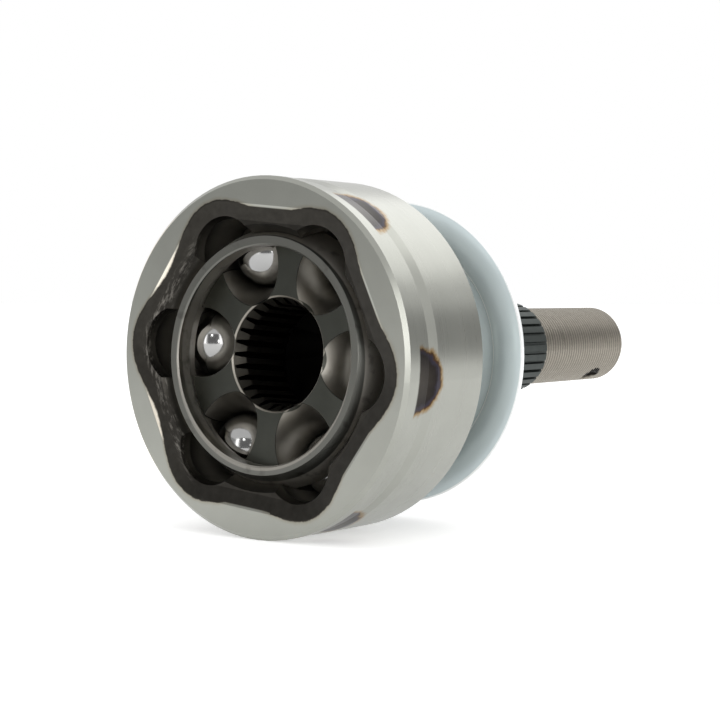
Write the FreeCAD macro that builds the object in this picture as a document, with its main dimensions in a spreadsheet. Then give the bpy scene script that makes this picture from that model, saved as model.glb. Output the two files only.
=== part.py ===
"""Fixed-centre constant-velocity joint with its stub shaft, modelled as a parametric document.

Frame: the origin is the joint centre, +Y runs along the stub shaft towards the wheel hub,
the open mouth faces -Y and +Z is up. All sizes are millimetres.

The outer race and the inner race carry six ball tracks each. An outer track is a circular
arc whose centre lies track_offset towards the mouth, and an inner track is the same arc
with its centre as far towards the hub, so the balls are driven into the plane that
bisects the joint angle. The cage holds them there.
"""
import FreeCAD
import Part
import Sketcher
import math
import os

Vector = FreeCAD.Vector
Placement = FreeCAD.Placement
Rotation = FreeCAD.Rotation

X_AXIS = Vector(1, 0, 0)
Y_AXIS = Vector(0, 1, 0)
Z_AXIS = Vector(0, 0, 1)

# Driving dimensions. Places along the axis are measured from the joint centre.
DIMENSIONS = [
    # running gear
    ("ball_radius", 9.0),
    ("pitch_radius", 30.0),
    ("track_offset", 4.5),
    ("track_play", 0.25),
    ("track_count", 6),
    ("track_turn", 6.0),
    ("rest_bend", 4.8),
    # bell of the outer race
    ("bell_radius", 46.0),
    ("mouth_plane", -19.2),
    ("rim_chamfer", 1.0),
    ("boot_groove_front", -15.2),
    ("boot_groove_floor_end", -9.6),
    ("boot_groove_rear", -6.3),
    ("boot_groove_depth", 0.5),
    ("rear_land_end", 14.1),
    ("rear_bevel", 0.8),
    ("back_bulge_radius", 90.0),
    ("neck_start_plane", 35.0),
    ("neck_start_radius", 27.5),
    ("neck_blend_radius", 6.0),
    ("neck_end_plane", 38.0),
    ("cavity_radius", 35.25),
    ("mouth_cone_plane", -14.85),
    ("mouth_cone_radius", 34.6),
    ("mouth_flat", 38.5),
    ("mouth_corner_radius", 12.5),
    ("mouth_bevel_width", 4.2),
    ("mouth_bevel_depth", 1.1),
    ("track_mouth_radius", 10.35),
    # stub shaft
    ("seat_radius", 25.0),
    ("shoulder_plane", 47.0),
    ("shoulder_chamfer", 1.0),
    ("journal_radius", 14.6),
    ("journal_end", 58.0),
    ("stub_tip_radius", 13.9),
    ("stub_root_radius", 12.9),
    ("stub_teeth", 30),
    ("stub_space_root_half", 0.3),
    ("stub_space_tip_half", 0.6),
    ("stub_space_top", 14.3),
    ("stub_spline_end", 103.8),
    ("thread_radius", 12.0),
    ("thread_start", 107.0),
    ("thread_turns", 35),
    ("thread_pitch", 1.5),
    ("thread_depth", 0.92),
    ("thread_root_half", 0.1),
    ("thread_top_margin", 0.3),
    ("stub_end", 159.1),
    ("end_chamfer", 1.2),
    ("centre_hole_radius", 3.2),
    ("centre_hole_depth", 5.5),
    ("cotter_plane", 145.8),
    ("cotter_angle", -56.0),
    ("cotter_radius", 2.25),
    ("cotter_mouth_radius", 3.6),
    ("cotter_mouth_depth", 1.6),
    ("cotter_overshoot", 1.0),
    # cage
    ("cage_outer_radius", 35.1),
    ("cage_inner_radius", 30.95),
    ("cage_front", -17.8),
    ("cage_front_bore", 27.95),
    ("cage_rear", 16.5),
    ("cage_rear_bore", 26.6),
    ("cage_edge", 0.4),
    ("window_half_width", 9.4),
    ("window_half_length", 11.0),
    ("window_corner", 4.5),
    # inner race
    ("race_sphere_radius", 30.8),
    ("race_half_width", 11.35),
    ("lead_in_radius", 14.66),
    ("lead_in_depth", 3.8),
    ("lead_in_chamfer", 0.35),
    ("bore_root_radius", 14.5),
    ("bore_tip_radius", 13.1),
    ("bore_teeth", 27),
    ("bore_space_root_half", 0.4),
    ("bore_space_tip_half", 1.05),
    ("bore_space_overlap", 0.6),
    # dust shield
    ("sheet", 1.2),
    ("collar_end", 46.0),
    ("collar_bend", 2.0),
    ("web_plane", 42.8),
    ("web_radius", 31.6),
    ("web_back_shift", 0.3),
    ("fold_radius", 32.4),
    ("fold_back_shift", 0.5),
    ("fold_plane", 41.6),
    ("bead_radius", 9.0),
    ("shield_radius", 42.05),
    ("shield_rim_plane", 40.3),
    ("shield_back_shift", 0.4),
]

# Dimensions that follow from the driving ones.
DERIVED = [
    ("track_path", "sqrt(pitch_radius ^ 2 + track_offset ^ 2)"),
    ("track_tube", "ball_radius + track_play"),
    ("rim_radius", "bell_radius - rim_chamfer"),
    ("rim_plane", "mouth_plane + rim_chamfer"),
    ("boot_groove_radius", "bell_radius - boot_groove_depth"),
    ("back_start_radius", "bell_radius - rear_bevel"),
    ("back_start_plane", "rear_land_end + rear_bevel"),
    ("shoulder_edge_radius", "seat_radius - shoulder_chamfer"),
    ("shoulder_edge_plane", "shoulder_plane - shoulder_chamfer"),
    ("end_edge_radius", "thread_radius - end_chamfer"),
    ("end_edge_plane", "stub_end - end_chamfer"),
    ("centre_hole_plane", "stub_end - centre_hole_depth"),
    ("mouth_cone_inner", "sqrt(cavity_radius ^ 2 - mouth_cone_plane ^ 2)"),
    ("mouth_corner_centre", "(mouth_flat - mouth_corner_radius) / cos(30 deg)"),
    ("track_mouth_centre", "sqrt(track_path ^ 2 - (mouth_cone_plane + track_offset) ^ 2)"),
    ("stub_space_length", "thread_start - journal_end"),
    ("thread_run", "(thread_turns - 1) * thread_pitch"),
    ("thread_root_radius", "thread_radius - thread_depth"),
    ("thread_top_radius", "thread_radius + thread_top_margin"),
    ("thread_top_half", "thread_root_half + (thread_depth + thread_top_margin) * tan(30 deg)"),
    ("cotter_reach", "thread_radius + cotter_overshoot"),
    ("cotter_wall_end", "thread_radius - cotter_mouth_depth"),
    ("cotter_flare", "(cotter_mouth_radius - cotter_radius) / cotter_mouth_depth"),
    ("cotter_reach_radius", "cotter_mouth_radius + cotter_overshoot * cotter_flare"),
    ("cage_front_radius", "sqrt(cage_outer_radius ^ 2 - cage_front ^ 2)"),
    ("cage_rear_radius", "sqrt(cage_outer_radius ^ 2 - cage_rear ^ 2)"),
    ("cage_front_edge_radius", "cage_front_bore + cage_edge"),
    ("cage_front_edge_plane", "cage_front + cage_edge"),
    ("cage_front_inner_plane", "-sqrt(cage_inner_radius ^ 2 - cage_front_bore ^ 2)"),
    ("cage_rear_inner_plane", "sqrt(cage_inner_radius ^ 2 - cage_rear_bore ^ 2)"),
    ("window_straight_half_width", "window_half_width - window_corner"),
    ("window_straight_half_length", "window_half_length - window_corner"),
    ("race_face_radius", "sqrt(race_sphere_radius ^ 2 - race_half_width ^ 2)"),
    ("lead_in_edge_radius", "lead_in_radius + lead_in_chamfer"),
    ("lead_in_edge_plane", "race_half_width - lead_in_chamfer"),
    ("lead_in_end_plane", "race_half_width - lead_in_depth"),
    ("bore_space_inner", "bore_tip_radius - bore_space_overlap"),
    ("race_width", "2 * race_half_width"),
    ("collar_bend_plane", "web_plane + collar_bend"),
    ("collar_bend_radius", "seat_radius + collar_bend"),
    ("collar_outer_radius", "seat_radius + sheet"),
    ("web_back_plane", "web_plane + sheet"),
    ("collar_inner_bend", "collar_bend - sheet"),
    ("bead_inner_radius", "bead_radius - sheet"),
    ("shield_back_radius", "shield_radius - shield_back_shift"),
    ("shield_back_plane", "shield_rim_plane + sheet"),
    ("fold_back_radius", "fold_radius + fold_back_shift"),
    ("fold_back_plane", "fold_plane + sheet"),
    ("web_back_radius", "web_radius + web_back_shift"),
]


class Model:
    """The document, its sheet of dimensions and the helpers that read them."""

    def __init__(self, name):
        self.document = FreeCAD.newDocument(name)
        self.sheet = self.document.addObject("Spreadsheet::Sheet", "Sheet")
        row = 1
        for alias, value in DIMENSIONS:
            self.write_cell(row, alias, str(value))
            row += 1
        self.document.recompute()
        for alias, formula in DERIVED:
            self.write_cell(row, alias, "=" + formula)
            self.document.recompute()
            row += 1

    def write_cell(self, row, alias, content):
        """Put one named dimension into the sheet."""
        self.sheet.set("A%d" % row, alias)
        self.sheet.set("B%d" % row, content)
        self.sheet.setAlias("B%d" % row, alias)

    def size(self, name):
        """The value of a named dimension, of its negative, or of the axis itself (None)."""
        if name is None:
            return 0.0
        if name.startswith("-"):
            return -float(self.sheet.get(name[1:]))
        return float(self.sheet.get(name))

    def formula(self, name):
        """The expression that binds a property to a named dimension or its negative."""
        if name.startswith("-"):
            return "-Sheet." + name[1:]
        return "Sheet." + name

    def bind(self, thing, **properties):
        """Bind properties of an object to named dimensions."""
        for key, name in properties.items():
            thing.setExpression(key, self.formula(name))

    def body(self, label):
        """A new PartDesign body whose label is the node's name."""
        body = self.document.addObject("PartDesign::Body", label.title().replace("_", ""))
        body.Label = label
        return body

    def sketch(self, body, name, role, shift_x=None, lift=None, turn=None):
        """A sketch on one of the body's origin planes, shifted, lifted or turned by named dimensions."""
        sketch = body.newObject("Sketcher::SketchObject", name)
        sketch.AttachmentSupport = [(origin_feature(body, role), "")]
        sketch.MapMode = "FlatFace"
        if turn is not None:
            sketch.AttachmentOffset = Placement(Vector(0, 0, 0), Rotation(Z_AXIS, self.size(turn)))
            sketch.setExpression("AttachmentOffset.Rotation.Angle", self.formula(turn))
        if shift_x is not None:
            sketch.setExpression("AttachmentOffset.Base.x", self.formula(shift_x))
        if lift is not None:
            sketch.setExpression("AttachmentOffset.Base.z", self.formula(lift))
        return sketch

    def constrain(self, sketch, kind, name, *where):
        """Add a constraint whose value is a named dimension."""
        number = sketch.addConstraint(Sketcher.Constraint(kind, *where, self.size(name)))
        sketch.setExpression("Constraints[%d]" % number, self.formula(name))

    def pin_point(self, sketch, edge, end, corner):
        """Hold one end of an edge at a corner given by two names, None for a place on an axis."""
        across, along = corner
        if across is None:
            sketch.addConstraint(Sketcher.Constraint("PointOnObject", edge, end, -2))
        else:
            self.constrain(sketch, "DistanceX", across, edge, end)
        if along is None:
            sketch.addConstraint(Sketcher.Constraint("PointOnObject", edge, end, -1))
        else:
            self.constrain(sketch, "DistanceY", along, edge, end)

    def outline(self, sketch, corners, arcs=None):
        """Draw a closed outline through named corners.

        arcs maps the number of the corner where an arc starts to its radius name and the side
        of its centre, 1 for left and -1 for right of the direction of travel.
        """
        arcs = arcs or {}
        count = len(corners)
        first_ends = []
        last_ends = []
        for number in range(count):
            start = Vector(*[self.size(name) for name in corners[number]], 0)
            end = Vector(*[self.size(name) for name in corners[(number + 1) % count]], 0)
            if number in arcs:
                radius_name, side = arcs[number]
                sketch.addGeometry(arc_between(start, end, self.size(radius_name), side))
                first_ends.append(1 if side > 0 else 2)
                last_ends.append(2 if side > 0 else 1)
                self.constrain(sketch, "Radius", radius_name, number)
            else:
                sketch.addGeometry(Part.LineSegment(start, end))
                first_ends.append(1)
                last_ends.append(2)
        for number in range(count):
            following = (number + 1) % count
            joint = (number, last_ends[number], following, first_ends[following])
            sketch.addConstraint(Sketcher.Constraint("Coincident", *joint))
            self.pin_point(sketch, number, first_ends[number], corners[number])

    def circle(self, sketch, centre_name, radius_name):
        """Draw a circle with its centre on the sketch's horizontal axis."""
        centre = Vector(self.size(centre_name), 0, 0)
        edge = sketch.addGeometry(Part.Circle(centre, Z_AXIS, self.size(radius_name)))
        self.pin_point(sketch, edge, 3, (centre_name, None))
        self.constrain(sketch, "Radius", radius_name, edge)

    def turned(self, body, kind, name, sketch, axis="V_Axis"):
        """Revolve a sketch once round one of its own axes, to add (Revolution) or cut (Groove)."""
        feature = body.newObject("PartDesign::" + kind, name)
        feature.Profile = sketch
        feature.ReferenceAxis = (sketch, [axis])
        feature.Angle = 360
        self.document.recompute()
        return feature

    def pocket(self, body, name, sketch, length_name, reverse=False):
        """Cut a sketch into the body to a named depth."""
        feature = body.newObject("PartDesign::Pocket", name)
        feature.Profile = sketch
        feature.Reversed = reverse
        feature.Length = self.size(length_name)
        self.bind(feature, Length=length_name)
        self.document.recompute()
        return feature

    def ring_of(self, body, name, feature, count, sweep):
        """Repeat a feature round the joint's axis, count times over the sweep in degrees."""
        pattern = body.newObject("PartDesign::PolarPattern", name)
        pattern.Originals = [feature]
        pattern.Axis = (origin_feature(body, "Y_Axis"), [""])
        pattern.Angle = sweep
        pattern.Occurrences = count
        body.Tip = pattern
        self.document.recompute()
        return pattern


def origin_feature(body, role):
    """One of the body's own origin planes or axes."""
    for feature in body.Origin.OriginFeatures:
        if feature.Role == role:
            return feature
    raise ValueError("no origin feature " + role)


def arc_between(start, end, radius, side):
    """The short arc from start to end, its centre left (1) or right (-1) of the way."""
    chord = end.sub(start)
    middle = start.add(end).multiply(0.5)
    rise = math.sqrt(radius ** 2 - (chord.Length / 2) ** 2)
    left = Vector(-chord.y, chord.x, 0).normalize()
    centre = middle.add(left.multiply(rise * side))
    start_angle = math.atan2(start.y - centre.y, start.x - centre.x)
    end_angle = math.atan2(end.y - centre.y, end.x - centre.x)
    if side < 0:
        start_angle, end_angle = end_angle, start_angle
    return Part.ArcOfCircle(Part.Circle(centre, Z_AXIS, radius), start_angle, end_angle)


def cut_tracks(model, body, centre_lift, pairs):
    """Cut the ball tracks: each ring-shaped cut makes two tracks that face each other."""
    sketch = model.sketch(body, body.Name + "TrackSketch", "XZ_Plane", lift=centre_lift)
    model.circle(sketch, "track_path", "track_tube")
    groove = model.turned(body, "Groove", body.Name + "Track", sketch)
    return model.ring_of(body, body.Name + "Tracks", groove, pairs, 120)


def make_outer_race(model):
    """Bell and stub shaft, one forging: outer profile, cavity, mouth, tracks, splines and thread."""
    body = model.body("outer_race")
    sketch = model.sketch(body, "ForgingSketch", "XY_Plane")
    corners = [
        (None, "mouth_plane"),
        ("rim_radius", "mouth_plane"),
        ("bell_radius", "rim_plane"),
        ("bell_radius", "boot_groove_front"),
        ("boot_groove_radius", "boot_groove_front"),
        ("boot_groove_radius", "boot_groove_floor_end"),
        ("bell_radius", "boot_groove_rear"),
        ("bell_radius", "rear_land_end"),
        ("back_start_radius", "back_start_plane"),
        ("neck_start_radius", "neck_start_plane"),
        ("seat_radius", "neck_end_plane"),
        ("seat_radius", "shoulder_edge_plane"),
        ("shoulder_edge_radius", "shoulder_plane"),
        ("journal_radius", "shoulder_plane"),
        ("journal_radius", "journal_end"),
        ("stub_tip_radius", "journal_end"),
        ("stub_tip_radius", "stub_spline_end"),
        ("thread_radius", "thread_start"),
        ("thread_radius", "end_edge_plane"),
        ("end_edge_radius", "stub_end"),
        ("centre_hole_radius", "stub_end"),
        (None, "centre_hole_plane"),
    ]
    arcs = {8: ("back_bulge_radius", 1), 9: ("neck_blend_radius", -1)}
    model.outline(sketch, corners, arcs)
    model.turned(body, "Revolution", "Forging", sketch)

    sketch = model.sketch(body, "CavitySketch", "XY_Plane")
    corners = [
        (None, "cavity_radius"),
        ("mouth_cone_inner", "mouth_cone_plane"),
        ("mouth_cone_radius", "mouth_plane"),
        (None, "mouth_plane"),
    ]
    model.outline(sketch, corners, {0: ("cavity_radius", -1)})
    model.turned(body, "Groove", "Cavity", sketch)

    cut_mouth_bevel(model, body)
    cut_tracks(model, body, "track_offset", 3)
    cut_track_mouths(model, body)
    cut_stub_splines(model, body)
    cut_thread(model, body)
    cut_cotter_hole(model, body)
    return body


def cut_mouth_bevel(model, body):
    """Flat bevel round the mouth, a hexagon with large round corners that point at the tracks."""
    sketch = model.sketch(body, "MouthBevelSketch", "XZ_Plane", lift="-mouth_plane")
    reach = model.size("mouth_corner_centre")
    radius = model.size("mouth_corner_radius")
    for number in range(6):
        turn = math.radians(60 * number)
        centre = Vector(reach * math.cos(turn), reach * math.sin(turn), 0)
        half = math.radians(30)
        arc = Part.ArcOfCircle(Part.Circle(centre, Z_AXIS, radius), turn - half, turn + half)
        sketch.addGeometry(arc)
        across = Vector(math.cos(turn + half), math.sin(turn + half), 0).multiply(radius)
        next_turn = turn + 2 * half
        next_centre = Vector(reach * math.cos(next_turn), reach * math.sin(next_turn), 0)
        sketch.addGeometry(Part.LineSegment(centre.add(across), next_centre.add(across)))
    for number in range(6):
        arc = 2 * number
        model.constrain(sketch, "Radius", "mouth_corner_radius", arc)
        for kind, wave in (("DistanceX", "cos"), ("DistanceY", "sin")):
            place = reach * getattr(math, wave)(math.radians(60 * number))
            if abs(place) < 1e-9:
                sketch.addConstraint(Sketcher.Constraint("PointOnObject", arc, 3, -1))
                continue
            index = sketch.addConstraint(Sketcher.Constraint(kind, arc, 3, place))
            expression = "Sheet.mouth_corner_centre * %s(%d deg)" % (wave, 60 * number)
            sketch.setExpression("Constraints[%d]" % index, expression)
        sketch.addConstraint(Sketcher.Constraint("Tangent", arc, 2, arc + 1, 1))
        sketch.addConstraint(Sketcher.Constraint("Tangent", arc + 1, 2, (arc + 2) % 12, 1))
    pocket = model.pocket(body, "MouthBevel", sketch, "mouth_bevel_depth")
    pocket.TaperAngle = -math.degrees(
        math.atan2(model.size("mouth_bevel_width"), model.size("mouth_bevel_depth"))
    )
    model.document.recompute()


def cut_track_mouths(model, body):
    """Short flared mouth in front of each track, where the balls are put in."""
    sketch = model.sketch(body, "TrackMouthSketch", "XY_Plane", shift_x="track_mouth_centre")
    corners = [
        (None, "mouth_plane"),
        ("track_mouth_radius", "mouth_plane"),
        ("track_tube", "mouth_cone_plane"),
        (None, "mouth_cone_plane"),
    ]
    model.outline(sketch, corners)
    groove = model.turned(body, "Groove", "TrackMouth", sketch)
    model.ring_of(body, "TrackMouths", groove, 6, 360)


def cut_stub_splines(model, body):
    """Straight spline of the stub shaft, which carries the wheel hub."""
    sketch = model.sketch(body, "StubSpaceSketch", "XZ_Plane", lift="-journal_end")
    corners = [
        ("stub_root_radius", "-stub_space_root_half"),
        ("stub_space_top", "-stub_space_tip_half"),
        ("stub_space_top", "stub_space_tip_half"),
        ("stub_root_radius", "stub_space_root_half"),
    ]
    model.outline(sketch, corners)
    space = model.pocket(body, "StubSpace", sketch, "stub_space_length")
    model.ring_of(body, "StubSpline", space, int(model.size("stub_teeth")), 360)


def cut_cotter_hole(model, body):
    """Cross hole for the cotter pin near the shaft's end, countersunk at both ends."""
    sketch = model.sketch(body, "CotterSketch", "XZ_Plane", lift="-cotter_plane", turn="cotter_angle")
    corners = [
        ("-cotter_reach", None),
        ("cotter_reach", None),
        ("cotter_reach", "cotter_reach_radius"),
        ("cotter_wall_end", "cotter_radius"),
        ("-cotter_wall_end", "cotter_radius"),
        ("-cotter_reach", "cotter_reach_radius"),
    ]
    model.outline(sketch, corners)
    model.turned(body, "Groove", "CotterHole", sketch, "H_Axis")


def cut_thread(model, body):
    """Thread of the hub nut: 60 degree grooves at its pitch, as rings without a lead."""
    sketch = model.sketch(body, "ThreadSketch", "XY_Plane")
    sketch.setExpression("AttachmentOffset.Base.y", "Sheet.thread_start")
    corners = [
        ("thread_root_radius", "-thread_root_half"),
        ("thread_top_radius", "-thread_top_half"),
        ("thread_top_radius", "thread_top_half"),
        ("thread_root_radius", "thread_root_half"),
    ]
    model.outline(sketch, corners)
    groove = model.turned(body, "Groove", "ThreadGroove", sketch)
    pattern = body.newObject("PartDesign::LinearPattern", "Thread")
    pattern.Originals = [groove]
    pattern.Direction = (origin_feature(body, "Y_Axis"), [""])
    pattern.Occurrences = int(model.size("thread_turns"))
    model.bind(pattern, Length="thread_run")
    body.Tip = pattern
    model.document.recompute()


def make_inner_race(model):
    """Inner race: a ball-shaped ring with six tracks and a splined bore for the half shaft."""
    body = model.body("inner_race")
    sketch = model.sketch(body, "RaceSketch", "XY_Plane")
    corners = [
        (None, "-race_half_width"),
        ("race_face_radius", "-race_half_width"),
        ("race_face_radius", "race_half_width"),
        (None, "race_half_width"),
    ]
    model.outline(sketch, corners, {1: ("race_sphere_radius", 1)})
    model.turned(body, "Revolution", "RaceBlank", sketch)

    cut_tracks(model, body, "-track_offset", 3)

    sketch = model.sketch(body, "BoreSketch", "XY_Plane")
    corners = [
        (None, "-race_half_width"),
        ("lead_in_edge_radius", "-race_half_width"),
        ("lead_in_radius", "-lead_in_edge_plane"),
        ("bore_tip_radius", "-lead_in_end_plane"),
        ("bore_tip_radius", "lead_in_end_plane"),
        ("lead_in_radius", "lead_in_edge_plane"),
        ("lead_in_edge_radius", "race_half_width"),
        (None, "race_half_width"),
    ]
    model.outline(sketch, corners)
    model.turned(body, "Groove", "Bore", sketch)

    sketch = model.sketch(body, "BoreSpaceSketch", "XZ_Plane", lift="race_half_width")
    corners = [
        ("bore_space_inner", "-bore_space_tip_half"),
        ("bore_root_radius", "-bore_space_root_half"),
        ("bore_root_radius", "bore_space_root_half"),
        ("bore_space_inner", "bore_space_tip_half"),
    ]
    model.outline(sketch, corners)
    space = model.pocket(body, "BoreSpace", sketch, "race_width")
    model.ring_of(body, "BoreSpline", space, int(model.size("bore_teeth")), 360)
    return body


def make_cage(model):
    """Ball cage: a ball-shaped ring with six windows that keep the balls in one plane."""
    body = model.body("cage")
    sketch = model.sketch(body, "CageSketch", "XY_Plane")
    corners = [
        ("cage_front_edge_radius", "cage_front"),
        ("cage_front_radius", "cage_front"),
        ("cage_rear_radius", "cage_rear"),
        ("cage_rear_bore", "cage_rear"),
        ("cage_rear_bore", "cage_rear_inner_plane"),
        ("cage_front_bore", "cage_front_inner_plane"),
        ("cage_front_bore", "cage_front_edge_plane"),
    ]
    arcs = {1: ("cage_outer_radius", 1), 4: ("cage_inner_radius", -1)}
    model.outline(sketch, corners, arcs)
    model.turned(body, "Revolution", "CageRing", sketch)

    sketch = model.sketch(body, "WindowSketch", "YZ_Plane")
    corners = [
        ("-window_straight_half_width", "-window_half_length"),
        ("window_straight_half_width", "-window_half_length"),
        ("window_half_width", "-window_straight_half_length"),
        ("window_half_width", "window_straight_half_length"),
        ("window_straight_half_width", "window_half_length"),
        ("-window_straight_half_width", "window_half_length"),
        ("-window_half_width", "window_straight_half_length"),
        ("-window_half_width", "-window_straight_half_length"),
    ]
    corner = ("window_corner", 1)
    model.outline(sketch, corners, {1: corner, 3: corner, 5: corner, 7: corner})
    window = model.pocket(body, "Window", sketch, "cage_outer_radius", reverse=True)
    model.ring_of(body, "Windows", window, int(model.size("track_count")), 360)
    return body


def make_dust_shield(model):
    """Pressed sheet-metal ring on the bell's neck: collar, flat web, rolled bead and rim."""
    body = model.body("dust_shield")
    sketch = model.sketch(body, "ShieldSketch", "XY_Plane")
    corners = [
        ("seat_radius", "collar_end"),
        ("seat_radius", "collar_bend_plane"),
        ("collar_bend_radius", "web_plane"),
        ("web_radius", "web_plane"),
        ("fold_radius", "fold_plane"),
        ("shield_radius", "shield_rim_plane"),
        ("shield_radius", "shield_back_plane"),
        ("shield_back_radius", "shield_back_plane"),
        ("fold_back_radius", "fold_back_plane"),
        ("web_back_radius", "web_back_plane"),
        ("collar_bend_radius", "web_back_plane"),
        ("collar_outer_radius", "collar_bend_plane"),
        ("collar_outer_radius", "collar_end"),
    ]
    arcs = {
        1: ("collar_bend", 1),
        4: ("bead_radius", 1),
        7: ("bead_inner_radius", -1),
        10: ("collar_inner_bend", -1),
    }
    model.outline(sketch, corners, arcs)
    model.turned(body, "Revolution", "Shield", sketch)
    return body


def ball_place(model, track_angle):
    """Centre of a ball in the plane that bisects the resting joint angle.

    The centre lies on its outer track, a circle about the track centre, and the plane's
    tilt sets how far along the axis it is for each millimetre of radius.
    """
    pitch_radius = model.size("pitch_radius")
    offset = model.size("track_offset")
    tilt = math.radians(model.size("rest_bend") / 2)
    slope = math.sin(track_angle) * math.tan(tilt)
    root = math.sqrt((offset * slope) ** 2 + (1 + slope ** 2) * pitch_radius ** 2)
    radius = (root - offset * slope) / (1 + slope ** 2)
    return Vector(radius * math.cos(track_angle), slope * radius, radius * math.sin(track_angle))


def make_balls(model):
    """Six steel balls, one in each pair of tracks."""
    balls = []
    count = int(model.size("track_count"))
    turn = model.size("track_turn")
    for number in range(count):
        ball = model.document.addObject("Part::Sphere", "Ball%d" % (number + 1))
        ball.Label = "ball_%d" % (number + 1)
        model.bind(ball, Radius="ball_radius")
        track_angle = math.radians(360.0 / count * number - turn)
        ball.Placement = Placement(ball_place(model, track_angle), Rotation())
        balls.append(ball)
    return balls


def tilted(bend, turn):
    """Placement of a piece turned about the joint's axis, then tilted mouth side up."""
    return Placement(Vector(0, 0, 0), Rotation(X_AXIS, -bend).multiply(Rotation(Y_AXIS, turn)))


def check_and_export(document, pieces):
    """Stop on any failed object or bad solid, then write one STEP file for each piece."""
    for thing in document.Objects:
        if "Invalid" in thing.State or "Error" in thing.State:
            raise RuntimeError("failed: %s %s" % (thing.Label, thing.State))
    for piece in pieces:
        shape = piece.Shape
        if shape.isNull() or not shape.isValid() or len(shape.Solids) != 1:
            raise RuntimeError("bad shape: " + piece.Label)
    os.makedirs("parts", exist_ok=True)
    for piece in pieces:
        piece.Shape.exportStep("parts/%s.step" % piece.Label)
        print("%-12s %10.1f mm3" % (piece.Label, piece.Shape.Volume))


def main():
    model = Model("CvJoint")
    turn = model.size("track_turn")
    bend = model.size("rest_bend")
    outer_race = make_outer_race(model)
    outer_race.Placement = tilted(0, turn)
    inner_race = make_inner_race(model)
    inner_race.Placement = tilted(bend, turn)
    cage = make_cage(model)
    cage.Placement = tilted(bend / 2, turn)
    dust_shield = make_dust_shield(model)
    balls = make_balls(model)
    model.document.recompute()
    check_and_export(model.document, [outer_race, dust_shield, cage, inner_race] + balls)


if __name__ == "__main__":
    main()
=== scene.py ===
"""Finishes and studio for a constant-velocity joint, laid out as an add-on and run as a script.

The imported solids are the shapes. Each steel surface gets the finish of its own making:
ground, induction hardened with heat tints, pressed and zinc plated, rolled, or polished.
Everything is in metres in the joint's frame: +Y towards the wheel hub, the mouth faces -Y.
"""
import math
import bpy
from mathutils import Euler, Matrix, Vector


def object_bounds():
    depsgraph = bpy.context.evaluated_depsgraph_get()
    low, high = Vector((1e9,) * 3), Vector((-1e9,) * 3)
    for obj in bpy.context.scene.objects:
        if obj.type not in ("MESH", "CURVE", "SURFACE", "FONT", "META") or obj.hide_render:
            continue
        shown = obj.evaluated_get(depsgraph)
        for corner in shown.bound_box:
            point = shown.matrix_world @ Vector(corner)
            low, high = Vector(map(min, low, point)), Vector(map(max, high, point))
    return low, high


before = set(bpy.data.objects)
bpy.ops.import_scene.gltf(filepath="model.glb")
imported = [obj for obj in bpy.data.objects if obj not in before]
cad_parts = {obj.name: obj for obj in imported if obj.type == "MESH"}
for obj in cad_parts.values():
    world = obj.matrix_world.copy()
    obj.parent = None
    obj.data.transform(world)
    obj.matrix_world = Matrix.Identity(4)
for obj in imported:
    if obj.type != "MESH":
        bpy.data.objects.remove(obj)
CAD_BOX = [list(corner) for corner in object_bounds()]

bl_info = {
    "name": "Constant-velocity joint finishes",
    "version": (1, 0, 0),
    "blender": (4, 5, 0),
    "location": "3D View > Sidebar > CV Joint",
    "description": "Steel finishes, studio and camera for a packed constant-velocity joint",
    "category": "Material",
}

MM = 0.001
WHITE = (1.0, 1.0, 1.0, 1.0)
BLACK = (0.0, 0.0, 0.0, 1.0)

# kinds of node that are used often, with the settings that go with them
MATH = "ShaderNodeMath"
VECTOR = "ShaderNodeVectorMath"
RANGE = "ShaderNodeMapRange"
NOISE = "ShaderNodeTexNoise"
MIX = "ShaderNodeMix"
SMOOTH = {"interpolation_type": "SMOOTHSTEP"}
COLOURS = {"output": 2, "data_type": "RGBA"}
# the sockets of a mix of two colours: the second one's share, the first and the second
SHARE, FIRST, SECOND = 0, 6, 7

# the joint's own sizes that the finishes follow, in millimetres
TRACKS = 6
BELL_RADIUS = 46.0
# pairs of levels for a mask with no lower or no upper end
NO_START = (-300.0, -299.0)
NO_END = (300.0, 301.0)


def linear(code):
    """An sRGB hex colour such as "808080" as the linear values that shaders take."""
    channels = [int(code[place:place + 2], 16) / 255 for place in (0, 2, 4)]
    values = [c / 12.92 if c <= 0.04045 else ((c + 0.055) / 1.055) ** 2.4 for c in channels]
    return (*values, 1.0)


def add_node(tree, kind, inputs=None, output=0, stops=None, **settings):
    """Add a node with its settings, fill or link its inputs, and return one of its outputs."""
    node = tree.nodes.new(kind)
    for name, value in settings.items():
        setattr(node, name, value)
    for key, value in (inputs or {}).items():
        if isinstance(value, bpy.types.NodeSocket):
            tree.links.new(value, node.inputs[key])
        else:
            node.inputs[key].default_value = value
    if stops:
        elements = node.color_ramp.elements
        while len(elements) < len(stops):
            elements.new(1.0)
        for element, (place, colour) in zip(elements, stops):
            element.position = place
            element.color = colour
    return node.outputs[output] if node.outputs else node


def new_finish(name, inputs):
    """A material whose Principled shader has these values, with its node tree and the shader."""
    material = bpy.data.materials.new(name)
    material.use_nodes = True
    tree = material.node_tree
    tree.nodes.clear()
    surface = add_node(tree, "ShaderNodeBsdfPrincipled", inputs)
    add_node(tree, "ShaderNodeOutputMaterial", {"Surface": surface})
    return material, tree, surface.node


def new_steel(name, metallic=1.0):
    """A material for a steel surface, and the object coordinates that its pattern follows."""
    material, tree, shader = new_finish(name, {"Metallic": metallic})
    place = add_node(tree, "ShaderNodeTexCoord", output="Object")
    return material, tree, shader, place


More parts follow.
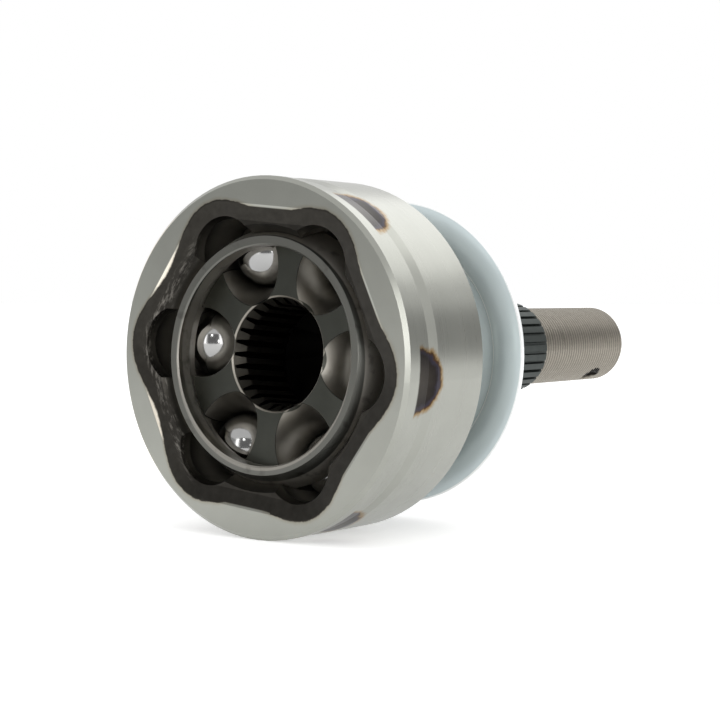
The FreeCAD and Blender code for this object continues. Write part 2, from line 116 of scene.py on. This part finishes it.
def finish_with(tree, shader, colour, rough, height=None, depth_mm=0.0):
    """Link colour and roughness to the shader, and a pattern as relief of a real depth."""
    tree.links.new(colour, shader.inputs["Base Color"])
    tree.links.new(rough, shader.inputs["Roughness"])
    if height is not None:
        inputs = {"Height": height, "Strength": 1.0, "Distance": depth_mm * MM}
        normal = add_node(tree, "ShaderNodeBump", inputs)
        tree.links.new(normal, shader.inputs["Normal"])


def cells(size_mm):
    """The scale of a noise whose cells are this many millimetres across."""
    return 1.0 / (size_mm * MM)


def round_axis(tree, place):
    """Radius from the joint's axis, place along it, and the angle about it."""
    split = add_node(tree, "ShaderNodeSeparateXYZ", {0: place}).node
    across, along, up = split.outputs
    square = add_node(tree, MATH, {0: across, 1: across}, operation="MULTIPLY")
    squares = add_node(tree, MATH, {0: up, 1: up, 2: square}, operation="MULTIPLY_ADD")
    radius = add_node(tree, MATH, {0: squares}, operation="SQRT")
    angle = add_node(tree, MATH, {0: up, 1: across}, operation="ARCTAN2")
    return radius, along, angle


def ring_lines(tree, radius, along, size_mm):
    """Lines that run round the axis, as a turning or grinding tool leaves them, from 0 to 1."""
    rings = add_node(tree, "ShaderNodeCombineXYZ", {"X": radius, "Y": along})
    return add_node(tree, NOISE, {"Vector": rings, "Scale": cells(size_mm), "Detail": 2.0})


def between(tree, value, rise, fall):
    """A mask that goes from 0 to 1 across the first two levels, in millimetres, and from 1
    back to 0 across the last two."""
    up = {"Value": value, "From Min": rise[0] * MM, "From Max": rise[1] * MM}
    down = {"Value": value, "From Min": fall[1] * MM, "From Max": fall[0] * MM}
    first = add_node(tree, RANGE, up, **SMOOTH)
    second = add_node(tree, RANGE, down, **SMOOTH)
    return add_node(tree, MATH, {0: first, 1: second}, operation="MULTIPLY")


def product(tree, first, *others):
    """Several masks or strengths multiplied together."""
    for other in others:
        first = add_node(tree, MATH, {0: first, 1: other}, operation="MULTIPLY")
    return first


def forging_finish(sizes):
    """Medium-carbon steel forging, turned and ground, with induction-hardened tracks.

    The ground lands are satin and neutral grey. The heat of hardening leaves a dark oxide
    round the mouth, and dark spots with brown and straw edges on the outside of each track.
    The spline is phosphated, dark grey, and the rolled thread is brownish grey.
    """
    material, tree, shader, place = new_steel("ground_and_hardened_steel")
    radius, along, angle = round_axis(tree, place)
    # the angle from the middle of the nearest track
    turned = add_node(tree, MATH, {0: angle, 1: sizes.track_turn}, operation="ADD")
    half_step = math.pi / TRACKS
    track = add_node(tree, MATH, {0: turned, 1: half_step, 2: -half_step}, operation="WRAP")
    # marks of the grinding wheel, clouds of about 9 mm on the lands, and rags of 2 to 3 mm,
    # the grain of the oxide, that break up its edges
    lines = ring_lines(tree, radius, along, size_mm=0.35)
    broad = add_node(tree, NOISE, {"Vector": place, "Scale": cells(9.091), "Detail": 3.0})
    rag = add_node(tree, NOISE, {"Vector": place, "Scale": cells(2.381), "Detail": 4.0,
                                 "Roughness": 0.6})

    # ground lands: the marks of the wheel show as a slight change of gloss
    lands = {SHARE: broad, FIRST: sizes.steel_dark, SECOND: sizes.steel_light}
    colour = add_node(tree, MIX, lands, **COLOURS)
    rough = add_node(tree, RANGE, {"Value": lines, "To Min": 0.24, "To Max": 0.34})

    # heat tint on the face: its edge is a mean radius with a wave for each track, and past is
    # how far outside that ragged edge a point is
    waves = add_node(tree, MATH, {0: track, 1: float(TRACKS)}, operation="MULTIPLY")
    wave = add_node(tree, MATH, {0: waves}, operation="COSINE")
    edge = add_node(tree, MATH, {0: wave, 1: sizes.tint_wave, 2: sizes.tint_radius},
                    operation="MULTIPLY_ADD")
    past = add_node(tree, MATH, {0: radius, 1: edge}, operation="SUBTRACT")
    rag_depth = 0.9 * MM
    past = add_node(tree, MATH, {0: rag, 1: -rag_depth, 2: past}, operation="MULTIPLY_ADD")
    face = between(tree, along, NO_START, (-17.9, -17.8))
    straw = product(tree, between(tree, past, NO_START, (-0.1, 1.1)), face, 0.55)
    brown = product(tree, between(tree, past, NO_START, (-0.45, 0.25)), face, 0.85)
    for mask, tint in ((straw, sizes.straw_tint), (brown, sizes.brown_tint)):
        colour = add_node(tree, MIX, {SHARE: mask, FIRST: colour, SECOND: tint}, **COLOURS)

    # heat spots on the outside over each track, behind the front land: reach is 0 in the
    # middle of a spot's front edge and 1 on its ragged oval rim
    around = add_node(tree, MATH, {0: track, 1: BELL_RADIUS * MM / sizes.spot_width},
                      operation="MULTIPLY")
    back = add_node(tree, MATH, {0: along, 1: 1.0 / sizes.spot_length,
                                 2: -sizes.spot_start / sizes.spot_length},
                    operation="MULTIPLY_ADD")
    pair = add_node(tree, "ShaderNodeCombineXYZ", {"X": around, "Y": back})
    reach = add_node(tree, VECTOR, {0: pair}, output="Value", operation="LENGTH")
    rag_share = 0.34
    reach = add_node(tree, MATH, {0: reach, 1: -rag_share / 2.0}, operation="ADD")
    reach = add_node(tree, MATH, {0: rag, 1: rag_share, 2: reach}, operation="MULTIPLY_ADD")
    outside = between(tree, radius, (44.6, 44.8), NO_END)
    start = sizes.spot_start / MM
    behind = between(tree, along, (start - 0.2, start + 0.5), NO_END)
    # from the middle out: three tones of oxide, violet, brown and straw
    tint = add_node(tree, "ShaderNodeValToRGB", {"Fac": reach}, stops=[
        (0.0, linear("3c3833")),
        (0.45, linear("322e2a")),
        (0.72, linear("262220")),
        (0.84, linear("33303a")),
        (0.91, linear("44311f")),
        (0.97, linear("8a7350")),
    ])
    inside = add_node(tree, RANGE, {"Value": reach, "From Min": 1.12, "From Max": 0.94}, **SMOOTH)
    spot = product(tree, inside, outside, behind)
    colour = add_node(tree, MIX, {SHARE: spot, FIRST: colour, SECOND: tint}, **COLOURS)

    # oxide from hardening: the bevel round the mouth, the cavity and the tracks, which are
    # lighter and duller past the mouth, partly ground steel and partly painted light, and
    # painted shade that darkens the cavity's floor
    distance = add_node(tree, VECTOR, {0: place}, output="Value", operation="LENGTH")
    cavity = product(tree, between(tree, distance, NO_START, (42.9, 43.0)),
                     between(tree, along, (-19.1, -19.0), NO_END))
    ahead = between(tree, along, NO_START, (-13.5, -13.0))
    mouth = product(tree, ahead, between(tree, past, NO_START, (-0.25, 0.05)))
    inner = add_node(tree, MATH, {0: cavity, 1: mouth}, operation="MAXIMUM")
    oxide = {SHARE: rag, FIRST: sizes.scale_dark, SECOND: sizes.scale_light}
    scale = add_node(tree, MIX, oxide, **COLOURS)
    # partly painted light: the tracks deep in the bell are lifted to a lighter tone
    deep = between(tree, along, (-18.0, -9.0), NO_END)
    # painted shade: the floor deep in the cavity is darkened to near black
    floor = between(tree, along, (8.0, 20.0), NO_END)
    for mask, tone in ((deep, sizes.track_tone), (floor, linear("1c1b19"))):
        scale = add_node(tree, MIX, {SHARE: mask, FIRST: scale, SECOND: tone}, **COLOURS)
    colour = add_node(tree, MIX, {SHARE: inner, FIRST: colour, SECOND: scale}, **COLOURS)
    dull = add_node(tree, RANGE, {"Value": deep, "To Min": 0.36, "To Max": 0.60})
    rough = add_node(tree, RANGE, {"Value": inner, "To Min": rough, "To Max": dull})

    # the side that was rubbed: scratches where the band turns into the bore, and bare steel
    # along the band's outer edge midway between two tracks
    drawn_out = 8.0 * MM
    slow = add_node(tree, MATH, {0: angle, 1: drawn_out}, operation="MULTIPLY")
    streak = add_node(tree, "ShaderNodeCombineXYZ", {"X": radius, "Y": along, "Z": slow})
    fine = add_node(tree, NOISE, {"Vector": streak, "Scale": cells(0.76923), "Detail": 5.0,
                                  "Roughness": 0.7})
    fleck = add_node(tree, RANGE, {"Value": fine, "From Min": 0.50, "From Max": 0.70})
    side = add_node(tree, MATH, {0: angle}, operation="COSINE")
    rubbed = add_node(tree, RANGE, {"Value": side, "From Min": -0.45, "From Max": -0.8})
    corner = between(tree, along, (-18.6, -18.2), (-17.7, -16.4))
    rub = product(tree, corner, fleck, rubbed, inner, 0.55)
    swing = add_node(tree, MATH, {0: track}, operation="ABSOLUTE")
    midway = add_node(tree, RANGE, {"Value": swing, "From Min": math.radians(9.0),
                                    "From Max": math.radians(17.0)}, **SMOOTH)
    band = between(tree, along, (-19.19, -19.14), (-18.0, -17.9))
    bare = product(tree, between(tree, past, (0.0, 0.6), NO_END), band, midway, rubbed, 0.95)
    for mask, tone in ((rub, linear("a19d95")), (bare, sizes.bare_bevel)):
        colour = add_node(tree, MIX, {SHARE: mask, FIRST: colour, SECOND: tone}, **COLOURS)

    # stub shaft: phosphated spline, rolled thread with painted shade darkening its roots, and
    # the cotter hole's mouth painted dark as shade, an oval on the side that the hole comes out
    # of
    shaft = between(tree, radius, NO_START, (15.2, 15.3))
    spline_start, spline_end = (57.4, 57.6), (105.2, 105.6)
    spline = product(tree, shaft, between(tree, along, spline_start, spline_end))
    thread = product(tree, shaft, between(tree, along, spline_end, NO_END))
    # painted shade: the cotter hole's mouth is painted near black
    pin = add_node(tree, "ShaderNodeVectorRotate", {"Vector": place, "Angle": sizes.pin_turn},
                   rotation_type="Y_AXIS")
    pin = add_node(tree, VECTOR, {0: pin, 1: (0.0, -sizes.pin_place, 0.0)}, operation="ADD")
    long_way, short_way = 1.0 / sizes.pin_mouth, 1.25 / sizes.pin_mouth
    pin = add_node(tree, VECTOR, {0: pin, 1: (0.0, long_way, short_way)}, operation="MULTIPLY")
    hole_shade = add_node(tree, VECTOR, {0: pin}, output="Value", operation="LENGTH")
    hole_shade = add_node(tree, RANGE, {"Value": hole_shade, "From Min": 1.08, "From Max": 0.92},
                       **SMOOTH)
    hole_shade = product(tree, hole_shade, thread)
    phosphate = add_node(tree, MIX, {SHARE: rag, FIRST: linear("343937"),
                                     SECOND: linear("474c4a")}, **COLOURS)
    rolled = add_node(tree, MIX, {SHARE: rag, FIRST: linear("8c877e"),
                                  SECOND: linear("a19b90")}, **COLOURS)
    # painted shade: the thread's roots are darkened
    root_shade = product(tree, between(tree, radius, NO_START, (11.2, 11.95)),
                   between(tree, along, NO_START, (157.0, 157.5)))
    rolled = add_node(tree, MIX, {SHARE: root_shade, FIRST: rolled, SECOND: linear("3b3731")},
                      **COLOURS)
    for mask, tone in ((spline, phosphate), (thread, rolled), (hole_shade, linear("1c1a18"))):
        colour = add_node(tree, MIX, {SHARE: mask, FIRST: colour, SECOND: tone}, **COLOURS)
    rough = add_node(tree, RANGE, {"Value": spline, "To Min": rough, "To Max": 0.5})
    finish_with(tree, shader, colour, rough, lines, depth_mm=0.004)
    return material


def zinc_finish(sizes):
    """Pressed sheet steel, zinc plated and clear passivated: pale blue-grey with a soft gloss.

    It has a painted highlight as a near-white line where the press tool folded the sheet, and
    another along the sheared rim.
    The plating's clouds are about 14 mm across.
    """
    material, tree, shader, place = new_steel("bright_zinc_plate", metallic=0.3)
    cloud = add_node(tree, NOISE, {"Vector": place, "Scale": cells(14.286), "Detail": 2.0})
    plate = {SHARE: cloud, FIRST: sizes.zinc_blue, SECOND: sizes.zinc_pale}
    colour = add_node(tree, MIX, plate, **COLOURS)
    radius = round_axis(tree, place)[0]
    # painted highlight: a near-white line along the fold and along the rim
    fold = between(tree, radius, (31.7, 32.0), (32.5, 32.8))
    rim = between(tree, radius, (41.6, 41.8), NO_END)
    bright = add_node(tree, MATH, {0: fold, 1: rim}, operation="MAXIMUM")
    colour = add_node(tree, MIX, {SHARE: bright, FIRST: colour, SECOND: linear("fafcfc")},
                      **COLOURS)
    rough = add_node(tree, RANGE, {"Value": cloud, "To Min": 0.30, "To Max": 0.38})
    finish_with(tree, shader, colour, rough)
    return material


def cage_finish(sizes):
    """Case-hardened ring steel, hard turned: a grey front face with fine turning lines and a
    paler lip that is a painted reflection, lighter satin ball faces that are partly painted
    light, and dark handling marks of about 4 mm."""
    material, tree, shader, place = new_steel("hard_turned_cage_steel")
    radius, along = round_axis(tree, place)[:2]
    lines = ring_lines(tree, radius, along, size_mm=0.3)
    marks = add_node(tree, NOISE, {"Vector": place, "Scale": cells(3.8462), "Detail": 4.0})
    dark = add_node(tree, RANGE, {"Value": marks, "From Min": 0.58, "From Max": 0.72})
    dark = product(tree, dark, 0.5)
    face = between(tree, along, NO_START, (-16.2, -15.9))
    # painted reflection: the inner edge is paler
    lip = between(tree, radius, NO_START, (28.2, 28.4))
    # the ball faces' lighter tone is partly satin steel and partly painted light
    ring = {SHARE: face, FIRST: sizes.cage_side, SECOND: sizes.cage_face}
    colour = add_node(tree, MIX, ring, **COLOURS)
    for mask, tone in ((lip, "908d86"), (dark, "3d3a36")):
        colour = add_node(tree, MIX, {SHARE: mask, FIRST: colour, SECOND: linear(tone)},
                          **COLOURS)
    gloss = add_node(tree, RANGE, {"Value": lines, "To Min": 0.26, "To Max": 0.38})
    rough = add_node(tree, RANGE, {"Value": face, "To Min": 0.48, "To Max": gloss})
    finish_with(tree, shader, colour, rough, lines, depth_mm=0.004)
    return material


def race_finish(sizes):
    """Carburised race steel: dark satin faces, and ground ball tracks that are lighter and warm,
    partly from the grinding and partly painted light.

    The broached bore is mid grey with painted shade in the grooves between its teeth, and a
    painted highlight as a thin bright lip where it meets the front face. The lead-in cone
    narrows towards the hub, and what lies outside it there is one of the grooves.
    """
    material, tree, shader, place = new_steel("carburised_race_steel")
    upright = add_node(tree, "ShaderNodeVectorRotate", {0: place, "Angle": sizes.rest_bend},
                       rotation_type="X_AXIS")
    radius, along = round_axis(tree, upright)[:2]
    distance = add_node(tree, VECTOR, {0: place}, output="Value", operation="LENGTH")
    # the tracks' lighter tone is partly ground steel and partly painted light
    tracks = product(tree, between(tree, along, (-11.3, -11.1), (11.1, 11.3)),
                     between(tree, radius, (15.1, 15.3), NO_END),
                     between(tree, distance, NO_START, (30.5, 30.7)))
    bore_edge = (14.5, 14.7)
    bore = between(tree, radius, NO_START, bore_edge)
    # painted highlight: a thin bright ring where the bore meets the front face
    lip = product(tree, between(tree, radius, bore_edge, (15.0, 15.1)),
                  between(tree, along, (-12.0, -11.9), (-10.9, -10.8)))
    # painted shade: the grooves between the bore's teeth are darkened
    cone = add_node(tree, MATH, {0: along, 1: sizes.lead_in_slope, 2: -sizes.lead_in_apex},
                    operation="MULTIPLY_ADD")
    beyond = add_node(tree, MATH, {0: radius, 1: cone}, operation="ADD")
    groove_shade = product(tree, between(tree, radius, (13.2, 13.3), bore_edge),
                     between(tree, beyond, (0.12, 0.25), NO_END))
    cloud = add_node(tree, NOISE, {"Vector": place, "Scale": cells(5.8824), "Detail": 3.0})
    steel = {SHARE: cloud, FIRST: sizes.race_dark, SECOND: sizes.race_light}
    colour = add_node(tree, MIX, steel, **COLOURS)
    for mask, tone in ((tracks, sizes.race_track), (bore, linear("625f58")),
                       (groove_shade, linear("211f1d")), (lip, linear("949087"))):
        colour = add_node(tree, MIX, {SHARE: mask, FIRST: colour, SECOND: tone}, **COLOURS)
    rough = add_node(tree, RANGE, {"Value": cloud, "To Min": 0.30, "To Max": 0.40})
    finish_with(tree, shader, colour, rough)
    return material


def ball_finish():
    """Through-hardened bearing balls, lapped to a mirror, with a trace of haze."""
    material, tree, shader, place = new_steel("lapped_bearing_steel")
    haze = add_node(tree, NOISE, {"Vector": place, "Scale": cells(5.0), "Detail": 2.0})
    colour = add_node(tree, MIX, {SHARE: haze, FIRST: linear("a0a0a0"),
                                  SECOND: linear("acacaa")}, **COLOURS)
    rough = add_node(tree, RANGE, {"Value": haze, "To Min": 0.10, "To Max": 0.16})
    finish_with(tree, shader, colour, rough)
    return material


def give(name, material):
    """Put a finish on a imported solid."""
    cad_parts[name].material_slots[0].material = material


class JointSizes(bpy.types.PropertyGroup):
    """Places and colours of the joint's finishes."""

    track_turn: bpy.props.FloatProperty(
        name="Track turn", description="Turn of the tracks about the joint's axis",
        subtype="ANGLE", default=math.radians(6.0))
    rest_bend: bpy.props.FloatProperty(
        name="Rest bend", description="Tilt of the inner race at rest",
        subtype="ANGLE", default=math.radians(4.8))
    tint_radius: bpy.props.FloatProperty(
        name="Tint radius", description="Mean radius of the heat tint's edge on the face",
        unit="LENGTH", precision=4, default=39.6 * MM)
    tint_wave: bpy.props.FloatProperty(
        name="Tint wave", description="How far the tint's edge swings out at each track",
        unit="LENGTH", precision=4, default=2.9 * MM)
    spot_start: bpy.props.FloatProperty(
        name="Spot start", description="Where the outside heat spots start along the axis",
        unit="LENGTH", precision=4, default=-13.6 * MM)
    spot_length: bpy.props.FloatProperty(
        name="Spot length", description="How far a heat spot reaches back",
        unit="LENGTH", precision=4, default=9.4 * MM)
    spot_width: bpy.props.FloatProperty(
        name="Spot width", description="Half the width of a heat spot round the bell",
        unit="LENGTH", precision=4, default=8.6 * MM)
    pin_turn: bpy.props.FloatProperty(
        name="Pin turn", description="Direction of the cotter hole about the axis",
        subtype="ANGLE", default=math.radians(-56.0))
    pin_place: bpy.props.FloatProperty(
        name="Pin place", description="Place of the cotter hole along the axis",
        unit="LENGTH", precision=4, default=145.8 * MM)
    pin_mouth: bpy.props.FloatProperty(
        name="Pin mouth", description="Half the length of the cotter hole's dark mouth",
        unit="LENGTH", precision=4, default=4.0 * MM)
    lead_in_slope: bpy.props.FloatProperty(
        name="Lead-in slope", description="Fall of the bore's lead-in cone in radius per length",
        default=0.452)
    lead_in_apex: bpy.props.FloatProperty(
        name="Lead-in apex", description="Radius the lead-in cone would have at the centre",
        unit="LENGTH", precision=4, default=9.688 * MM)
    steel_dark: bpy.props.FloatVectorProperty(
        name="Ground steel, dark", description="Darker tone of the ground lands",
        subtype="COLOR", size=4, min=0.0, max=1.0, default=linear("989992"))
    steel_light: bpy.props.FloatVectorProperty(
        name="Ground steel, light", description="Lighter tone of the ground lands",
        subtype="COLOR", size=4, min=0.0, max=1.0, default=linear("a3a49d"))
    straw_tint: bpy.props.FloatVectorProperty(
        name="Straw tint", description="Palest heat tint",
        subtype="COLOR", size=4, min=0.0, max=1.0, default=linear("918b7b"))
    brown_tint: bpy.props.FloatVectorProperty(
        name="Brown tint", description="Heat tint next to the oxide",
        subtype="COLOR", size=4, min=0.0, max=1.0, default=linear("544c44"))
    bare_bevel: bpy.props.FloatVectorProperty(
        name="Bare bevel", description="Steel that was rubbed clean at the mouth's edge",
        subtype="COLOR", size=4, min=0.0, max=1.0, default=linear("f2eada"))
    scale_dark: bpy.props.FloatVectorProperty(
        name="Oxide, dark", description="Darker tone of the oxide round the mouth",
        subtype="COLOR", size=4, min=0.0, max=1.0, default=linear("282623"))
    scale_light: bpy.props.FloatVectorProperty(
        name="Oxide, light", description="Lighter tone of the oxide round the mouth",
        subtype="COLOR", size=4, min=0.0, max=1.0, default=linear("3e3c38"))
    # partly ground steel and partly painted light, lifted so the shaded tracks show
    track_tone: bpy.props.FloatVectorProperty(
        name="Track tone", description="Tone of the hardened tracks and the cavity",
        subtype="COLOR", size=4, min=0.0, max=1.0, default=linear("8a867d"))
    zinc_blue: bpy.props.FloatVectorProperty(
        name="Zinc, blue", description="Bluer tone of the plating",
        subtype="COLOR", size=4, min=0.0, max=1.0, default=linear("c4d1d4"))
    zinc_pale: bpy.props.FloatVectorProperty(
        name="Zinc, pale", description="Paler tone of the plating",
        subtype="COLOR", size=4, min=0.0, max=1.0, default=linear("d6e0e2"))
    cage_face: bpy.props.FloatVectorProperty(
        name="Cage face", description="Tone of the cage's front face",
        subtype="COLOR", size=4, min=0.0, max=1.0, default=linear("6e6e69"))
    # partly painted light: lifted so the shaded outer sphere shows
    cage_side: bpy.props.FloatVectorProperty(
        name="Cage side", description="Tone of the cage's ball faces",
        subtype="COLOR", size=4, min=0.0, max=1.0, default=linear("a5a199"))
    race_dark: bpy.props.FloatVectorProperty(
        name="Inner race, dark", description="Darker tone of the inner race",
        subtype="COLOR", size=4, min=0.0, max=1.0, default=linear("41423d"))
    race_light: bpy.props.FloatVectorProperty(
        name="Inner race, light", description="Lighter tone of the inner race",
        subtype="COLOR", size=4, min=0.0, max=1.0, default=linear("4c4d48"))
    # partly painted light: lifted so the shaded tracks show
    race_track: bpy.props.FloatVectorProperty(
        name="Inner race tracks", description="Tone of the ground ball tracks",
        subtype="COLOR", size=4, min=0.0, max=1.0, default=linear("a19d95"))


class StudioSizes(bpy.types.PropertyGroup):
    """Places and powers of the studio."""

    camera_place: bpy.props.FloatVectorProperty(
        name="Camera place", description="Where the camera stands", subtype="XYZ", unit="LENGTH",
        default=(0.26619, -0.34381, 0.01523))
    camera_azimuth: bpy.props.FloatProperty(
        name="Camera azimuth", description="Turn from looking along +Y",
        subtype="ANGLE", default=math.radians(35.815))
    camera_elevation: bpy.props.FloatProperty(
        name="Camera elevation", description="Height above the horizon",
        subtype="ANGLE", default=math.radians(2.128))
    lens: bpy.props.FloatProperty(
        name="Lens", description="Focal length on a 36 mm sensor", unit="CAMERA", default=83.37)
    room_light: bpy.props.FloatProperty(
        name="Room light", description="Strength of the room's light on what isn't a mirror",
        default=0.95)
    floor_glow: bpy.props.FloatProperty(
        name="Floor glow", description="White that the floor adds to its own light", default=0.45)


class JOINT_OT_outer_race(bpy.types.Operator):
    """Give the bell and its stub shaft the ground, hardened, phosphated and rolled finishes"""
    bl_idname = "joint.outer_race"
    bl_label = "Finish outer race"

    def execute(self, context):
        give("outer_race", forging_finish(context.scene.joint_sizes))
        return {"FINISHED"}


class JOINT_OT_dust_shield(bpy.types.Operator):
    """Give the dust shield its zinc plate"""
    bl_idname = "joint.dust_shield"
    bl_label = "Finish dust shield"

    def execute(self, context):
        give("dust_shield", zinc_finish(context.scene.joint_sizes))
        return {"FINISHED"}


class JOINT_OT_running_gear(bpy.types.Operator):
    """Give the cage, the inner race and the balls their finishes"""
    bl_idname = "joint.running_gear"
    bl_label = "Finish running gear"

    def execute(self, context):
        sizes = context.scene.joint_sizes
        give("cage", cage_finish(sizes))
        give("inner_race", race_finish(sizes))
        polished = ball_finish()
        for name in sorted(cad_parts):
            if name.startswith("ball_"):
                give(name, polished)
        return {"FINISHED"}


def seen_share(tree):
    """1 for rays from the camera and those that metal or glass sends on, 0 for the rest."""
    path = add_node(tree, "ShaderNodeLightPath").node
    share = path.outputs["Is Camera Ray"]
    for name in ("Is Glossy Ray", "Is Transmission Ray"):
        share = add_node(tree, MATH, {0: share, 1: path.outputs[name]}, operation="MAXIMUM")
    return share


def facing(item, place):
    """Put a lamp or a card at a place, turned to the joint's centre."""
    item.location = place
    item.rotation_euler = item.location.to_track_quat("Z", "Y").to_euler()


def softbox(name, place, width, height, radiance):
    """A rectangular lamp of a given brightness, where 1 is the white of the room."""
    lamp = bpy.data.lights.new(name, "AREA")
    lamp.shape = "RECTANGLE"
    lamp.size = width
    lamp.size_y = height
    lamp.energy = radiance * math.pi * width * height
    body = bpy.data.objects.new(name, lamp)
    bpy.context.scene.collection.objects.link(body)
    facing(body, place)


def flat_sheet(name, half_width, half_height, material):
    """A flat rectangle in its own XY plane that belongs to the stage."""
    mesh = bpy.data.meshes.new(name)
    sides = ((-1, -1), (1, -1), (1, 1), (-1, 1))
    corners = [(x * half_width, y * half_height, 0.0) for x, y in sides]
    mesh.from_pydata(corners, [], [(0, 1, 2, 3)])
    mesh.materials.append(material)
    sheet = bpy.data.objects.new(name, mesh)
    bpy.context.scene.collection.objects.link(sheet)
    return sheet


def grey_card(name, place, half_width, half_height, tone):
    """A grey studio card that only shows in the metal, where it tones the white room down."""
    material = new_finish(name, {"Base Color": BLACK, "Specular IOR Level": 0.0,
                                 "Emission Color": WHITE, "Emission Strength": tone})[0]
    card = flat_sheet(name, half_width, half_height, material)
    facing(card, place)
    card.visible_camera = False
    card.visible_diffuse = False
    card.visible_shadow = False


class JOINT_OT_stage(bpy.types.Operator):
    """Make the floor, the room, the lamps, the cards and the camera"""
    bl_idname = "joint.stage"
    bl_label = "Make stage"

    def execute(self, context):
        scene = context.scene
        sizes = scene.joint_studio
        scene.view_settings.view_transform = "Standard"

        # matt white paper that glows a little where it is seen, so that it meets the white room
        paper = {"Base Color": linear("e8e8e8"), "Roughness": 0.9, "Emission Color": WHITE}
        material, tree, shader = new_finish("white_paper", paper)
        glow = product(tree, seen_share(tree), sizes.floor_glow)
        tree.links.new(glow, shader.inputs["Emission Strength"])
        floor = flat_sheet("floor", 12.0, 12.0, material)
        floor.location.z = CAD_BOX[0][2]

        world = bpy.data.worlds.new("room")
        scene.world = world
        world.use_nodes = True
        tree = world.node_tree
        tree.nodes.clear()
        strength = add_node(tree, RANGE, {"Value": seen_share(tree), "To Min": sizes.room_light})
        room = add_node(tree, "ShaderNodeBackground", {"Color": WHITE, "Strength": strength})
        add_node(tree, "ShaderNodeOutputWorld", {"Surface": room})

        # each has its place, its size in metres and its brightness in units of the room's white
        softbox("top_softbox", (0.05, 0.80, 0.70), 0.9, 0.5, 1.15)
        softbox("right_softbox", (0.85, -0.55, 0.25), 0.30, 0.7, 2.0)
        grey_card("left_card", (-0.70, -0.97, 0.26), 0.50, 0.31, 0.5)
        grey_card("back_card", (0.66, 1.0, 0.16), 0.30, 0.20, 0.38)
        grey_card("camera_card", (0.50, -1.0, 0.25), 0.42, 0.42, 0.25)
        softbox("front_softbox", (-0.06, -0.95, 0.22), 0.16, 0.5, 2.2)
        softbox("shield_light", (1.0, -0.25, 0.12), 0.3, 0.5, 5.0)
        softbox("key_light", (0.28, -0.78, 0.42), 0.08, 0.08, 9.0)
        softbox("side_light", (0.62, -0.62, 0.10), 0.04, 0.16, 6.0)

        lens = bpy.data.cameras.new("camera")
        lens.lens = sizes.lens
        lens.sensor_width = 36.0
        camera = bpy.data.objects.new("camera", lens)
        scene.collection.objects.link(camera)
        camera.location = sizes.camera_place
        tilt = math.pi / 2.0 - sizes.camera_elevation
        camera.rotation_euler = Euler((tilt, 0.0, sizes.camera_azimuth))
        scene.camera = camera
        return {"FINISHED"}


class JOINT_PT_panel(bpy.types.Panel):
    """The joint's steps in the sidebar"""
    bl_label = "CV Joint"
    bl_idname = "JOINT_PT_panel"
    bl_space_type = "VIEW_3D"
    bl_region_type = "UI"
    bl_category = "CV Joint"

    def draw(self, context):
        for operator in STEPS:
            self.layout.operator(operator.bl_idname)
        for name in JointSizes.__annotations__:
            self.layout.prop(context.scene.joint_sizes, name)
        for name in StudioSizes.__annotations__:
            self.layout.prop(context.scene.joint_studio, name)


STEPS = (JOINT_OT_outer_race, JOINT_OT_dust_shield, JOINT_OT_running_gear, JOINT_OT_stage)
CLASSES = (JointSizes, StudioSizes, *STEPS, JOINT_PT_panel)


def register():
    for each in CLASSES:
        bpy.utils.register_class(each)
    bpy.types.Scene.joint_sizes = bpy.props.PointerProperty(type=JointSizes)
    bpy.types.Scene.joint_studio = bpy.props.PointerProperty(type=StudioSizes)


def unregister():
    del bpy.types.Scene.joint_studio
    del bpy.types.Scene.joint_sizes
    for each in reversed(CLASSES):
        bpy.utils.unregister_class(each)


def main():
    """Run every step in order."""
    register()
    for step in STEPS:
        area, name = step.bl_idname.split(".")
        getattr(getattr(bpy.ops, area), name)()


if __name__ == "__main__":
    main()
